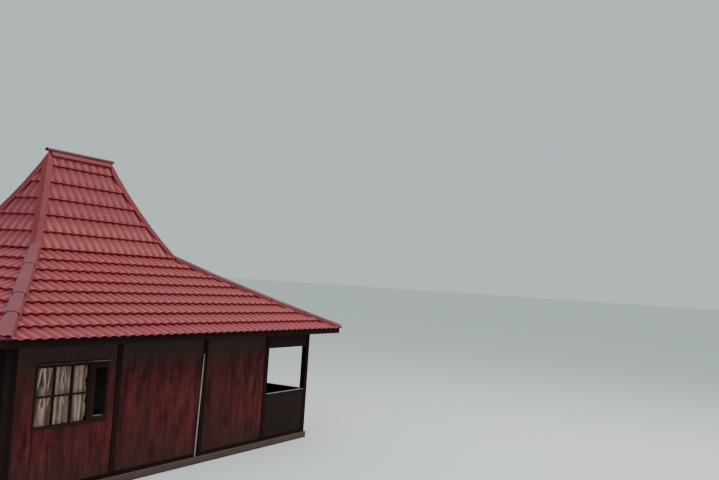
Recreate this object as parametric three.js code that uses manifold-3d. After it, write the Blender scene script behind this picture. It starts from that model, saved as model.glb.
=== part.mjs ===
// A one-room timber cottage under a two-pitch hipped roof of pressed metal tiles, with a veranda at its right end.
// Millimetres, +Z up. The origin is on the ground, below the middle of the roof. The front wall faces -Y.
import * as THREE from "three";
import { mergeVertices } from "three/addons/utils/BufferGeometryUtils.js";
import Module from "manifold-3d";

const wasm = await Module();
wasm.setup();

// Driving dimensions
const GAP = 0.3; // between pieces that touch
const TILE_WAVE = 190; // one wave of a pressed tile sheet, along the eave
const TILE_COURSE = 350; // one step of a pressed tile sheet, up the slope
const EAVE_WAVES = 45;
const LOW_COURSES = 8;
const HIGH_COURSES = 6;
const TOP_COURSE = 260; // the last step, cut short under the ridge cap
const LOW_PITCH = { eave: 23.9, knee: 29.1 }; // degrees
const HIGH_PITCH = { knee: 55.7, ridge: 66.7 }; // degrees
const ROOF_THICKNESS = 110; // tiles, battens and rafters together
const TILE_LIP = 25; // the tile edge alone, past the fascia
const OVERHANG = 470; // from the eave edge to the front and back walls
const END_OVERHANG = 540; // and to the end walls
const PLINTH_HEIGHT = 120;
const PLINTH_MARGIN = 30;
const EAVE_HEIGHT = 2310; // top of the tile edge, above the ground
const POST = 110;
const SILL_HEIGHT = 60;
const PLATE_HEIGHT = 110;
const BOARD = 30; // wall boards with their rails
const BOARD_RECESS = 15; // board face behind the post face
const FRONT_BAYS = [1948, 2065, 1883, 1464]; // post centres along the front, left to right
const SIDE_BAYS = 3;
const RAIL_TOP = 1010;
const RAIL = { width: 70, height: 40 };
const HEADER_BOTTOM = 1890;
const FASCIA = { inset: 50, thickness: 25, bottom: 2180 };
const CAP = { halfWidth: 135, thickness: 6, rollRadius: 88, rollSink: 38, ridgeRoll: 76, ridgeOverrun: 45 };
const WINDOW = { left: 972, width: 1363, bottom: 995, height: 900 }; // left is from the eave's left end
const DOOR = { width: 900, top: 2120, jamb: 80, head: 80 };
const PIPE = { radius: 11, top: 1880, topX: 268, footX: 198 };

// Worked out from the driving dimensions
const courses = [
  ...Array.from({ length: LOW_COURSES }, (_, i) => ({
    length: TILE_COURSE,
    pitch: THREE.MathUtils.degToRad(blend(LOW_PITCH.eave, LOW_PITCH.knee, (i / (LOW_COURSES - 1)) ** 2)),
  })),
  ...Array.from({ length: HIGH_COURSES }, (_, i) => ({
    length: i < HIGH_COURSES - 1 ? TILE_COURSE : TOP_COURSE,
    pitch: THREE.MathUtils.degToRad(blend(HIGH_PITCH.knee, HIGH_PITCH.ridge, i / (HIGH_COURSES - 1))),
  })),
];
const roofLine = courses.reduce(
  (points, { length, pitch }) => {
    const [x, z] = points[points.length - 1];
    return [...points, [x + length * Math.cos(pitch), z + length * Math.sin(pitch)]];
  },
  [[0, EAVE_HEIGHT]],
);
const [hipRun, ridgeHeight] = roofLine[roofLine.length - 1];
const eaveLength = EAVE_WAVES * TILE_WAVE;
const eaveWidth = 2 * hipRun;
const ridgeLength = eaveLength - 2 * hipRun;
const wallX = eaveLength / 2 - END_OVERHANG; // outer face of the end walls
const wallY = eaveWidth / 2 - OVERHANG; // outer face of the front and back walls
const sillBottom = PLINTH_HEIGHT + GAP;
const sillTop = sillBottom + SILL_HEIGHT;
const plateBottom = roofHeight(OVERHANG, ROOF_THICKNESS) - PLATE_HEIGHT;
const boardBottom = sillTop + GAP;
const boardTop = plateBottom - GAP;
const frontPostX = FRONT_BAYS.reduce((xs, bay) => [...xs, xs[xs.length - 1] + bay], [-wallX + POST / 2]);
const sideBay = (2 * wallY - POST) / SIDE_BAYS;
const partitionX = frontPostX[3];

function blend(from, to, share) {
  return from + (to - from) * share;
}

// The roof's section from eave to ridge, sunk by depth square to it: points [distance in from the eave, height].
function roofSection(depth) {
  const normals = courses.map(({ pitch }) => [Math.sin(pitch), -Math.cos(pitch)]);
  const sunk = roofLine.map(([x, z], i) => {
    const below = normals[Math.max(i - 1, 0)];
    const above = normals[Math.min(i, courses.length - 1)];
    const share = depth / (1 + below[0] * above[0] + below[1] * above[1]);
    return [x + share * (below[0] + above[0]), z + share * (below[1] + above[1])];
  });
  const between = sunk.slice(1, -1).filter(([x]) => x < hipRun);
  return [[0, heightOn(sunk, 0)], ...between, [hipRun, heightOn(sunk, hipRun)]];
}

// The height of a line of points at a distance in from the eave.
function heightOn(line, x) {
  const after = line.findIndex(([end], i) => i > 0 && end >= x);
  const i = after < 0 ? line.length - 1 : after;
  const [[x0, z0], [x1, z1]] = [line[i - 1], line[i]];
  return z0 + ((x - x0) * (z1 - z0)) / (x1 - x0);
}

function roofHeight(inFromEave, depth) {
  return heightOn(roofSection(depth), inFromEave);
}

// Solids and meshes
function solidOf(geometry) {
  const bare = geometry.clone();
  bare.deleteAttribute("normal");
  bare.deleteAttribute("uv");
  const merged = mergeVertices(bare, 1e-3);
  return new wasm.Manifold(
    new wasm.Mesh({
      numProp: 3,
      vertProperties: merged.attributes.position.array,
      triVerts: new Uint32Array(merged.index.array),
    }),
  );
}

function geometryOf(solid) {
  const made = solid.getMesh();
  const geometry = new THREE.BufferGeometry();
  geometry.setAttribute("position", new THREE.BufferAttribute(new Float32Array(made.vertProperties), 3));
  geometry.setIndex(new THREE.BufferAttribute(new Uint32Array(made.triVerts), 1));
  geometry.computeVertexNormals();
  return geometry;
}

function largestBody(solid) {
  return solid.decompose().reduce((largest, body) => (body.volume() > largest.volume() ? body : largest));
}

const ALONG = {
  x: new THREE.Matrix4().makeBasis(
    new THREE.Vector3(0, 1, 0),
    new THREE.Vector3(0, 0, 1),
    new THREE.Vector3(1, 0, 0),
  ),
  y: new THREE.Matrix4().makeBasis(
    new THREE.Vector3(1, 0, 0),
    new THREE.Vector3(0, 0, 1),
    new THREE.Vector3(0, -1, 0),
  ),
  z: new THREE.Matrix4(),
};

// A prism of an outline, centred along its axis unless its start is given.
function prism(outline, length, axis, from = -length / 2) {
  const shape = new THREE.Shape(outline.map(([a, b]) => new THREE.Vector2(a, b)));
  const geometry = new THREE.ExtrudeGeometry(shape, { depth: length, bevelEnabled: false });
  geometry.translate(0, 0, from);
  geometry.applyMatrix4(ALONG[axis]);
  return geometry;
}

// The same prism as a solid, with holes right through it.
function pierced(outline, length, axis, from, holes) {
  const whole = solidOf(prism(outline, length, axis, from));
  return holes.reduce((solid, hole) => solid.subtract(solidOf(prism(hole, length + 2, axis, from - 1))), whole);
}

function rectangle(x0, y0, x1, y1) {
  return [
    [x0, y0],
    [x1, y0],
    [x1, y1],
    [x0, y1],
  ];
}

function boxGeometry(low, high) {
  const size = high.map((h, i) => h - low[i]);
  const geometry = new THREE.BoxGeometry(...size);
  geometry.translate(...high.map((h, i) => (h + low[i]) / 2));
  return geometry;
}

// Materials
function material(colour, roughness, metalness = 0) {
  return new THREE.MeshStandardMaterial({ color: colour, roughness, metalness });
}

const redMetal = material(0xa84b52, 0.45, 0.2);
const paleMetal = material(0xa2646c, 0.45, 0.2);
const redBoards = material(0x47191d, 0.8);
const darkTimber = material(0x1d1715, 0.85);
const brownBoards = material(0x33211f, 0.85);
const concrete = material(0x77706a, 0.95);
const paneGlass = material(0x9fb0b5, 0.1);
const curtainCloth = material(0xb5aa98, 0.9);
const whitePlastic = material(0xc9c6c4, 0.5);

const house = new THREE.Group();

function add(parent, name, geometry, finish, position = [0, 0, 0]) {
  const mesh = new THREE.Mesh(geometry, finish);
  mesh.name = name;
  mesh.position.set(...position);
  parent.add(mesh);
  return mesh;
}

// A group turned about Z, so that each side is drawn as the front is, with its outer face on local y = 0.
function side(turns, distance) {
  const group = new THREE.Group();
  group.rotation.z = (turns * Math.PI) / 2;
  group.position.set(distance * Math.sin(group.rotation.z), -distance * Math.cos(group.rotation.z), 0);
  house.add(group);
  return group;
}

const front = side(0, wallY);
const rightEnd = side(1, wallX);
const back = side(2, wallY);
const leftEnd = side(3, wallX);

// Ground floor and frame
function foundation() {
  const x = wallX + PLINTH_MARGIN;
  const y = wallY + PLINTH_MARGIN;
  add(house, "foundation_slab", new THREE.BoxGeometry(2 * x, 2 * y, PLINTH_HEIGHT), concrete, [
    0,
    0,
    PLINTH_HEIGHT / 2,
  ]);
}

// One ring under the posts, with a cross beam under the partition.
function sillBeams() {
  const bays = [
    rectangle(-wallX + POST, -wallY + POST, partitionX - POST / 2, wallY - POST),
    rectangle(partitionX + POST / 2, -wallY + POST, wallX - POST, wallY - POST),
  ];
  const ring = pierced(rectangle(-wallX, -wallY, wallX, wallY), SILL_HEIGHT, "z", sillBottom, bays);
  add(house, "sill_beams", geometryOf(ring), darkTimber);
}

function post(parent, name, x) {
  const height = boardTop - boardBottom;
  add(parent, name, new THREE.BoxGeometry(POST, POST, height), darkTimber, [x, POST / 2, boardBottom + height / 2]);
}

function posts() {
  frontPostX.forEach((x, i) => post(front, `front_post_${i + 1}`, x));
  frontPostX.forEach((x, i) => post(back, `back_post_${i + 1}`, -x));
  for (const [group, name] of [
    [leftEnd, "left_post"],
    [rightEnd, "veranda_post"],
  ]) {
    post(group, `${name}_1`, -sideBay / 2);
    post(group, `${name}_2`, sideBay / 2);
  }
}

// Everything under the roof surface, sunk by depth square to it, as one solid.
function belowRoof(depth) {
  const section = roofSection(depth);
  const outline = (half) => {
    const right = section.map(([x, z]) => [half - x, z]);
    const left = section.map(([x, z]) => [x - half, z]).reverse();
    const apexes = half > hipRun ? left : left.slice(1);
    return [[-half, -GAP], [half, -GAP], ...right, ...apexes];
  };
  const across = solidOf(prism(outline(hipRun), eaveLength + 2, "x"));
  const along = solidOf(prism(outline(eaveLength / 2), eaveWidth + 2, "y"));
  return across.intersect(along);
}

const underRafters = belowRoof(ROOF_THICKNESS + GAP);

// The beam that joins the post heads, with its top cut to the pitch of the roof.
function wallPlate() {
  const height = 3 * PLATE_HEIGHT;
  const ring = pierced(rectangle(-wallX, -wallY, wallX, wallY), height, "z", plateBottom, [
    rectangle(-wallX + POST, -wallY + POST, wallX - POST, wallY - POST),
  ]);
  add(house, "wall_plate", geometryOf(ring.intersect(underRafters)), darkTimber);
}

// Walls
function panel(parent, name, x0, x1, bottom, top, finish, holes = []) {
  const outline = rectangle(x0 + GAP, bottom, x1 - GAP, top);
  add(parent, name, geometryOf(pierced(outline, BOARD, "y", -BOARD_RECESS - BOARD, holes)), finish);
}

const windowHole = {
  low: [WINDOW.left - eaveLength / 2, WINDOW.bottom],
  high: [WINDOW.left - eaveLength / 2 + WINDOW.width, WINDOW.bottom + WINDOW.height],
};

function hole(mirror) {
  const xs = [windowHole.low[0] * mirror, windowHole.high[0] * mirror].sort((a, b) => a - b);
  return rectangle(xs[0], windowHole.low[1], xs[1], windowHole.high[1]);
}

function longWall(group, name, mirror) {
  const bayNames = ["window_bay", "middle_bay", "inner_bay"];
  bayNames.forEach((bay, i) => {
    const ends = [frontPostX[i] + POST / 2, frontPostX[i + 1] - POST / 2].map((x) => x * mirror);
    const holes = bay === "window_bay" ? [hole(mirror)] : [];
    panel(group, `${name}_wall_${bay}`, Math.min(...ends), Math.max(...ends), boardBottom, boardTop, redBoards, holes);
  });
}

function endWall() {
  for (let i = 0; i < SIDE_BAYS; i++) {
    const x0 = -wallY + POST + i * sideBay;
    panel(leftEnd, `left_wall_bay_${i + 1}`, x0, x0 + sideBay - POST, boardBottom, boardTop, darkTimber);
  }
}

// Veranda at the right end: boarded parapets under open bays, with a header board over each side.
function parapet(group, name, x0, x1) {
  const middle = BOARD_RECESS + BOARD / 2;
  const railBottom = RAIL_TOP - RAIL.height;
  const section = [
    [middle - BOARD / 2, boardBottom],
    [middle + BOARD / 2, boardBottom],
    [middle + BOARD / 2, railBottom],
    [middle + RAIL.width / 2, railBottom],
    [middle + RAIL.width / 2, RAIL_TOP],
    [middle - RAIL.width / 2, RAIL_TOP],
    [middle - RAIL.width / 2, railBottom],
    [middle - BOARD / 2, railBottom],
  ];
  add(group, name, prism(section, x1 - x0 - 2 * GAP, "x", x0 + GAP), brownBoards);
}

function veranda() {
  const open = [frontPostX[3] + POST / 2, frontPostX[4] - POST / 2];
  parapet(front, "front_parapet", open[0], open[1]);
  parapet(back, "back_parapet", -open[1], -open[0]);
  panel(front, "front_header_board", open[0], open[1], HEADER_BOTTOM, boardTop, brownBoards);
  panel(back, "back_header_board", -open[1], -open[0], HEADER_BOTTOM, boardTop, brownBoards);
  for (let i = 0; i < SIDE_BAYS; i++) {
    const x0 = -wallY + POST + i * sideBay;
    const x1 = x0 + sideBay - POST;
    panel(rightEnd, `end_header_board_${i + 1}`, x0, x1, HEADER_BOTTOM, boardTop, brownBoards);
    if (i !== 1) parapet(rightEnd, `end_parapet_${i === 0 ? "front" : "back"}`, x0, x1);
  }
}

// The room's wall to the veranda, boarded up to the rafters, with the doorway in its middle.
function partition() {
  const inner = wallY - POST - GAP;
  const jambOut = DOOR.width / 2 + DOOR.jamb;
  const headTop = DOOR.top + DOOR.head;
  const peak = roofHeight(eaveLength / 2 - partitionX + POST, 0);
  const slice = (thickness, half, bottom, top) =>
    solidOf(boxGeometry([partitionX - thickness / 2, -half, bottom], [partitionX + thickness / 2, half, top]));
  const boards = slice(BOARD, inner, boardBottom, peak)
    .subtract(slice(2 * BOARD, jambOut + GAP, boardBottom - 1, headTop + GAP))
    .intersect(underRafters);
  const frame = slice(POST, jambOut, boardBottom, headTop).subtract(
    slice(2 * POST, DOOR.width / 2, boardBottom - 1, DOOR.top),
  );
  add(house, "partition_boards", geometryOf(boards), redBoards);
  add(house, "door_frame", geometryOf(frame), darkTimber);
}

// Windows: a wide sash of three by two panes, and a narrow light beside it.
const SASH = {
  stile: 30,
  muntin: 30,
  bottomRail: 35,
  topRail: 55,
  wide: 987, // from the frame's left edge to the right edge of the third pane
  lightLeft: 1092,
  lightRight: 1307,
  lightBottom: 85,
  lightTop: 785,
  depth: 60,
};
const GLASS = { thickness: 5, behindFace: 28 };
const CURTAIN = { thickness: 36, left: 15, right: 1020, bottom: 15, top: 882 };

// The panes of a window, from the frame's lower left corner: [x0, z0, x1, z1].
function panes() {
  const made = [];
  const pitch = (SASH.wide - SASH.stile + SASH.muntin) / 3;
  const middle = (SASH.bottomRail + WINDOW.height - SASH.topRail) / 2;
  const rows = [
    [SASH.bottomRail, middle - SASH.muntin / 2],
    [middle + SASH.muntin / 2, WINDOW.height - SASH.topRail],
  ];
  for (let column = 0; column < 3; column++) {
    const left = SASH.stile + column * pitch;
    for (const [z0, z1] of rows) made.push([left, z0, left + pitch - SASH.muntin, z1]);
  }
  made.push([SASH.lightLeft, SASH.lightBottom, SASH.lightRight, middle - SASH.muntin / 2]);
  made.push([SASH.lightLeft, middle + SASH.muntin / 2, SASH.lightRight, SASH.lightTop]);
  return made;
}

function windowSet(group, name, mirror) {
  const corner = [windowHole.low[0] * mirror, windowHole.low[1]];
  const at = (x0, z0, x1, z1) => {
    const xs = [corner[0] + x0 * mirror, corner[0] + x1 * mirror].sort((a, b) => a - b);
    return rectangle(xs[0], corner[1] + z0, xs[1], corner[1] + z1);
  };
  const rebate = prism(
    at(SASH.stile / 2, SASH.bottomRail / 2, WINDOW.width - SASH.stile / 2, WINDOW.height - SASH.topRail / 2),
    GLASS.thickness + 2 * GAP,
    "y",
    -GLASS.behindFace - GLASS.thickness - GAP,
  );
  const outline = at(GAP, GAP, WINDOW.width - GAP, WINDOW.height - GAP);
  const holes = panes().map((pane) => at(...pane));
  const frame = pierced(outline, SASH.depth, "y", -SASH.depth, holes).subtract(solidOf(rebate));
  add(group, `${name}_window_frame`, geometryOf(frame), darkTimber);
  const sheet = at(
    SASH.stile / 2 + GAP,
    SASH.bottomRail / 2 + GAP,
    WINDOW.width - SASH.stile / 2 - GAP,
    WINDOW.height - SASH.topRail / 2 - GAP,
  );
  add(
    group,
    `${name}_window_glass`,
    prism(sheet, GLASS.thickness, "y", -GLASS.behindFace - GLASS.thickness),
    paneGlass,
  );
  const cloth = at(CURTAIN.left, CURTAIN.bottom, CURTAIN.right, CURTAIN.top);
  add(
    group,
    `${name}_window_curtain`,
    prism(cloth, CURTAIN.thickness, "y", -SASH.depth - GAP - CURTAIN.thickness),
    curtainCloth,
  );
}

// Roof
function roofFace(turns, name, length) {
  const group = side(turns, (turns % 2 ? eaveLength : eaveWidth) / 2);
  const top = roofSection(0);
  const under = roofSection(ROOF_THICKNESS);
  const lip = roofSection(TILE_LIP);
  const edge = FASCIA.inset + FASCIA.thickness + GAP;
  const low = [
    ...top.slice(0, LOW_COURSES + 1),
    ...under.slice(0, LOW_COURSES + 1).filter(([x]) => x > edge).reverse(),
    [edge, heightOn(under, edge)],
    [edge, heightOn(lip, edge)],
    lip[0],
  ];
  const high = [...under.slice(LOW_COURSES), ...top.slice(LOW_COURSES).reverse()].map(([x, z]) => [
    Math.min(x + GAP, hipRun),
    z,
  ]);
  const half = length / 2 - GAP;
  const reach = Math.min(hipRun - GAP / 2, half);
  const plan = [
    [-half, 0],
    [half, 0],
    [half - reach, reach],
    ...(half - reach > GAP ? [[-half + reach, reach]] : []),
  ];
  const wedge = solidOf(prism(plan, 2 * ridgeHeight, "z", 0));
  for (const [level, section] of [
    ["lower", low],
    ["upper", high],
  ]) {
    const slab = solidOf(prism(section, length, "x")).intersect(wedge);
    add(group, `${level}_roof_${name}`, geometryOf(slab), redMetal);
  }
}

function roof() {
  roofFace(0, "front", eaveLength);
  roofFace(1, "right", eaveWidth);
  roofFace(2, "back", eaveLength);
  roofFace(3, "left", eaveWidth);
}

function fascia() {
  const outer = [eaveLength / 2 - FASCIA.inset, eaveWidth / 2 - FASCIA.inset];
  const inner = outer.map((half) => half - FASCIA.thickness);
  const top = roofHeight(FASCIA.inset, TILE_LIP) - GAP;
  const outline = rectangle(-outer[0], -outer[1], outer[0], outer[1]);
  const inside = rectangle(-inner[0], -inner[1], inner[0], inner[1]);
  const ring = pierced(outline, top - FASCIA.bottom, "z", FASCIA.bottom, [inside]);
  add(house, "fascia_board", geometryOf(ring), darkTimber);
}

// A round bar between two points, with few sides.
function bar(from, to, radius, sides = 12) {
  const start = new THREE.Vector3(...from);
  const run = new THREE.Vector3(...to).sub(start);
  const geometry = new THREE.CylinderGeometry(radius, radius, run.length(), sides);
  const turn = new THREE.Quaternion().setFromUnitVectors(new THREE.Vector3(0, 1, 0), run.clone().normalize());
  geometry.applyQuaternion(turn);
  geometry.translate(...start.addScaledVector(run, 0.5).toArray());
  return solidOf(geometry);
}

// Folded caps over the hips, with a low roll on the lower pitch, and a rolled cap on the ridge.
function caps() {
  const surface = belowRoof(-GAP);
  const skin = belowRoof(-GAP - CAP.thickness).subtract(surface);
  const half = [eaveLength / 2, eaveWidth / 2];
  const end = ridgeLength / 2;
  const rollSpan = end + CAP.ridgeOverrun;
  const ridgeRoll = (radius) => bar([-rollSpan, 0, ridgeHeight], [rollSpan, 0, ridgeHeight], radius);
  const flange = solidOf(
    boxGeometry([-end, -CAP.halfWidth / 2, 0], [end, CAP.halfWidth / 2, 2 * ridgeHeight]),
  );
  const ridge = skin.intersect(flange).add(ridgeRoll(CAP.ridgeRoll).subtract(surface));
  add(house, "ridge_cap", geometryOf(ridge), paleMetal);

  for (const [name, sx, sy] of [
    ["front_left", -1, -1],
    ["front_right", 1, -1],
    ["back_left", -1, 1],
    ["back_right", 1, 1],
  ]) {
    const corner = [sx * half[0], sy * half[1]];
    const peak = [sx * end, 0];
    const across = [(-sy * CAP.halfWidth) / Math.SQRT2, (sx * CAP.halfWidth) / Math.SQRT2];
    const band = [
      [corner[0] + across[0], corner[1] + across[1]],
      [corner[0] - across[0], corner[1] - across[1]],
      [peak[0] - across[0], peak[1] - across[1]],
      [peak[0] + across[0], peak[1] + across[1]],
    ];
    const outline = sx * sy > 0 ? band : band.reverse();
    const joints = [[-CAP.halfWidth, roofHeight(-CAP.halfWidth, 0)], ...roofLine.slice(1, LOW_COURSES + 1)].map(
      ([x, z]) => [sx * (half[0] - x), sy * (half[1] - x), z - CAP.rollSink],
    );
    const roll = joints
      .slice(1)
      .map((joint, i) => bar(joints[i], joint, CAP.rollRadius))
      .reduce((whole, length) => whole.add(length));
    const xs = [sx * (end + GAP), sx * (half[0] - GAP)].sort((a, b) => a - b);
    const ys = [sy * GAP, sy * (half[1] - GAP)].sort((a, b) => a - b);
    const quarter = solidOf(boxGeometry([xs[0], ys[0], 0], [xs[1], ys[1], 2 * ridgeHeight]));
    const cap = skin
      .intersect(solidOf(prism(outline, 2 * ridgeHeight, "z", 0)))
      .add(roll.subtract(surface))
      .intersect(quarter)
      .subtract(ridgeRoll(CAP.ridgeRoll + GAP));
    add(house, `hip_cap_${name}`, geometryOf(largestBody(cap)), paleMetal);
  }
}

// A thin white conduit that stands on the slab and leans beside the third front post.
function conduit() {
  const y = -wallY - PIPE.radius - GAP;
  const foot = new THREE.Vector3(PIPE.footX, y, PLINTH_HEIGHT + PIPE.radius);
  const head = new THREE.Vector3(PIPE.topX, y, PIPE.top);
  const path = new THREE.LineCurve3(foot, head);
  const ring = new THREE.Shape().absarc(0, 0, PIPE.radius, 0, 2 * Math.PI);
  const tube = new THREE.ExtrudeGeometry(ring, { steps: 1, extrudePath: path, curveSegments: 8 });
  add(house, "wall_conduit", tube, whitePlastic);
}

foundation();
sillBeams();
posts();
wallPlate();
longWall(front, "front", 1);
longWall(back, "back", -1);
endWall();
veranda();
partition();
windowSet(front, "front", 1);
windowSet(back, "back", -1);
roof();
fascia();
caps();
conduit();

export default house;
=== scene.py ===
"""Looks of a small timber cottage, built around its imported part."""

import math
import random

import bpy
from mathutils import Matrix, Vector


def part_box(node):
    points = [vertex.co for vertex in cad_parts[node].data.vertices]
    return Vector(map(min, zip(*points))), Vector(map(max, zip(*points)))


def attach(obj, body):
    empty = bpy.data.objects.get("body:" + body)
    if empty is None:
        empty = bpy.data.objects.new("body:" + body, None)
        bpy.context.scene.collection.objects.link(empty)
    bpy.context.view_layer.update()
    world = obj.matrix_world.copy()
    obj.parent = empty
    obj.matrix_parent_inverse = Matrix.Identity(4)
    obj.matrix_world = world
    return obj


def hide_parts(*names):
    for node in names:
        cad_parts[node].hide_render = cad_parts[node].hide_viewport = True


bl_info = {
    "name": "Joglo timber cottage",
    "version": (1, 0, 0),
    "blender": (4, 5, 0),
    "location": "3D Viewport > Sidebar > Cottage",
    "description": "Builds the tiles, boards, windows and finishes of a hipped timber cottage around its part",
    "category": "Object",
}

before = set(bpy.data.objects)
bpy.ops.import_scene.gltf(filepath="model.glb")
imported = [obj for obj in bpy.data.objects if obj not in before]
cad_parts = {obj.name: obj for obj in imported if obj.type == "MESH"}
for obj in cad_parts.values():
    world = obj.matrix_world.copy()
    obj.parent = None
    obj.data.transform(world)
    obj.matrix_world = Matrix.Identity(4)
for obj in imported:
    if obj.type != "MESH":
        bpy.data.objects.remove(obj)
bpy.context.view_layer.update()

# Sizes of the part, in metres and degrees
WAVE = 0.190
WAVES = 45
COURSE = 0.350
TOP_COURSE = 0.260
LOW_PITCHES = [23.9 + 5.2 * (i / 7) ** 2 for i in range(8)]
HIGH_PITCHES = [55.7 + 11.0 * i / 5 for i in range(6)]
PITCHES = [math.radians(p) for p in LOW_PITCHES + HIGH_PITCHES]
KNEE = len(LOW_PITCHES)
LENGTHS = [COURSE] * (len(PITCHES) - 1) + [TOP_COURSE]
EAVE_HEIGHT = 2.310
OVERHANG = 0.470
END_OVERHANG = 0.540
POST = 0.110
GAP = 0.0003  # between nodes that touch

# Sizes that several pieces share
EDGE = 0.003  # bevel of sawn timber
BOARD_EDGE = 0.0025  # bevel of a wall board
NEAR = 1e-4  # how near a vertex lies to where it was drawn
OPEN = {"end_fill_type": "NOTHING"}  # a cylinder with no ends
LEVEL = {"rotation": (0, math.pi / 2, 0)}  # a cylinder along X


def roof_line():
    """The roof's section: points (distance in from the eave, height)."""
    points = [(0.0, EAVE_HEIGHT)]
    for length, pitch in zip(LENGTHS, PITCHES):
        x, z = points[-1]
        points.append((x + length * math.cos(pitch), z + length * math.sin(pitch)))
    return points


ROOF = roof_line()
HALF_X = WAVES * WAVE / 2
HALF_Y, RIDGE_HEIGHT = ROOF[-1]
WALL_X = HALF_X - END_OVERHANG
WALL_Y = HALF_Y - OVERHANG
RIDGE_END = HALF_X - HALF_Y
# Each side's axis along the wall, its way out and how far out its post faces are
SIDES = {"front": (0, -1, WALL_Y), "back": (0, 1, WALL_Y), "left": (1, -1, WALL_X), "right": (1, 1, WALL_X)}
# The roof faces that are drawn: their two sides, half the eave's length, its distance out, and quarter turns
FACES = [(("front", "back"), HALF_X, HALF_Y, 0), (("right", "left"), HALF_Y, HALF_X, 1)]


# What a user would change


def length_of(name, description, default):
    return bpy.props.FloatProperty(name=name, description=description, default=default, unit="LENGTH")


def colour_of(name, description, default):
    return bpy.props.FloatVectorProperty(
        name=name, description=description, default=default, subtype="COLOR", size=3, min=0, max=1
    )


class CottageRoof(bpy.types.PropertyGroup):
    """Sizes of the roof's sheets, caps and rafters."""

    wave_depth: length_of("Wave depth", "From crest to valley of a tile sheet", 0.025)
    step_height: length_of("Step height", "Rise of each tile step", 0.036)
    sheet_thickness: length_of("Sheet thickness", "Thickness of tiles and caps", 0.0015)
    cap_width: length_of("Cap width", "From hip line to the edge of a low cap", 0.108)
    roll_radius: length_of("Roll radius", "Half the width of the low round caps", 0.090)
    rafter_spacing: length_of("Rafter spacing", "From rafter to rafter", 0.57)


class CottageWalls(bpy.types.PropertyGroup):
    """Sizes of the boards and timbers."""

    board_width: length_of("Board width", "Width of a wall board", 0.155)
    joint: length_of("Board joint", "Open joint between two boards", 0.0012)
    chamfer: length_of("Timber chamfer", "Worn edge of a post or beam", 0.006)
    folds: bpy.props.IntProperty(name="Curtain folds", description="Gathers across a curtain", default=7)


class CottageFinishes(bpy.types.PropertyGroup):
    """Colours of the finishes."""

    tile: colour_of("Tile paint", "Brick rose paint of the tiles", (0.318, 0.054, 0.061))
    cap: colour_of("Cap paint", "Paint of hip and ridge caps", (0.203, 0.0185, 0.0225))
    red: colour_of("Red stain", "Stain of the wall boards", (0.069, 0.0102, 0.0122))
    worn: colour_of("Worn stain", "Boards where the stain has gone", (0.042, 0.026, 0.022))
    dark: colour_of("Dark stain", "Posts, beams and rafters", (0.0112, 0.0047, 0.0037))
    sash: colour_of("Sash stain", "Window frames and bars", (0.032, 0.0135, 0.0115))
    brown: colour_of("Brown stain", "Parapets and header boards", (0.0190, 0.0108, 0.0097))
    cloth: colour_of("Curtain", "Curtain cloth", (0.54, 0.355, 0.277))
    concrete: colour_of("Concrete", "Slab", (0.104, 0.066, 0.056))
    plastic: colour_of("Conduit", "Plastic conduit", (0.34, 0.26, 0.25))


GROUPS = {"cottage_roof": CottageRoof, "cottage_walls": CottageWalls, "cottage_finishes": CottageFinishes}


# Hand tools


def only(*objects):
    bpy.ops.object.select_all(action="DESELECT")
    for obj in objects:
        obj.select_set(True)
    bpy.context.view_layer.objects.active = objects[0]


def settle(obj=None):
    """Puts an object's place, turn and scale into its mesh."""
    obj = obj or bpy.context.active_object
    only(obj)
    bpy.ops.object.transform_apply(location=True, rotation=True, scale=True)
    return obj


def copy_of(obj):
    only(obj)
    bpy.ops.object.duplicate(linked=False)
    return bpy.context.active_object


def join(parts):
    only(*parts)
    if len(parts) > 1:
        bpy.ops.object.join()
    return bpy.context.active_object


def pick(obj, test=lambda co: True):
    """Edit mode on obj, with the vertices that test picks, and what lies between them, selected."""
    only(obj)
    bpy.ops.object.mode_set(mode="EDIT")
    bpy.ops.mesh.select_mode(type="VERT")
    bpy.ops.mesh.select_all(action="DESELECT")
    bpy.ops.object.mode_set(mode="OBJECT")
    for vertex in obj.data.vertices:
        vertex.select = test(vertex.co)
    bpy.ops.object.mode_set(mode="EDIT")


def done():
    bpy.ops.object.mode_set(mode="OBJECT")


def shift(obj, test, offset):
    pick(obj, test)
    bpy.ops.transform.translate(value=offset)
    done()


def extrude(offset):
    bpy.ops.mesh.extrude_region_move(TRANSFORM_OT_translate={"value": offset})


def cut(obj, point, inward, fill=False):
    """Cuts off what lies behind a plane."""
    pick(obj)
    bpy.ops.mesh.bisect(plane_co=point, plane_no=inward, use_fill=fill, clear_inner=True)
    done()


def modify(obj, kind, **settings):
    only(obj)
    modifier = obj.modifiers.new(kind.title(), kind)
    for name, value in settings.items():
        setattr(modifier, name, value)
    bpy.ops.object.modifier_apply(modifier=modifier.name)
    return obj


def repeat(obj, count, step, **settings):
    settings.update(count=count, use_relative_offset=False, use_constant_offset=True, constant_offset_displace=step)
    return modify(obj, "ARRAY", **settings)


def bevel(obj, width):
    return modify(obj, "BEVEL", width=width, segments=2, limit_method="ANGLE", angle_limit=math.radians(40))


def thicken(obj, thickness, offset=-1):
    return modify(obj, "SOLIDIFY", thickness=thickness, offset=offset)


def block(low, high):
    middle = [(a + b) / 2 for a, b in zip(low, high)]
    size = [b - a for a, b in zip(low, high)]
    bpy.ops.mesh.primitive_cube_add(size=1, location=middle, scale=size)
    return settle()


def grid(columns, rows, low, high):
    """A level sheet of faces at z = 0."""
    bpy.ops.mesh.primitive_grid_add(x_subdivisions=columns, y_subdivisions=rows, size=1)
    made = bpy.context.active_object
    made.scale = (high[0] - low[0], high[1] - low[1], 1)
    made.location = ((high[0] + low[0]) / 2, (high[1] + low[1]) / 2, 0)
    return settle(made)


def cylinder(vertices, radius, length, middle, **settings):
    bpy.ops.mesh.primitive_cylinder_add(vertices=vertices, radius=radius, depth=length, location=middle, **settings)
    return settle()


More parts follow.
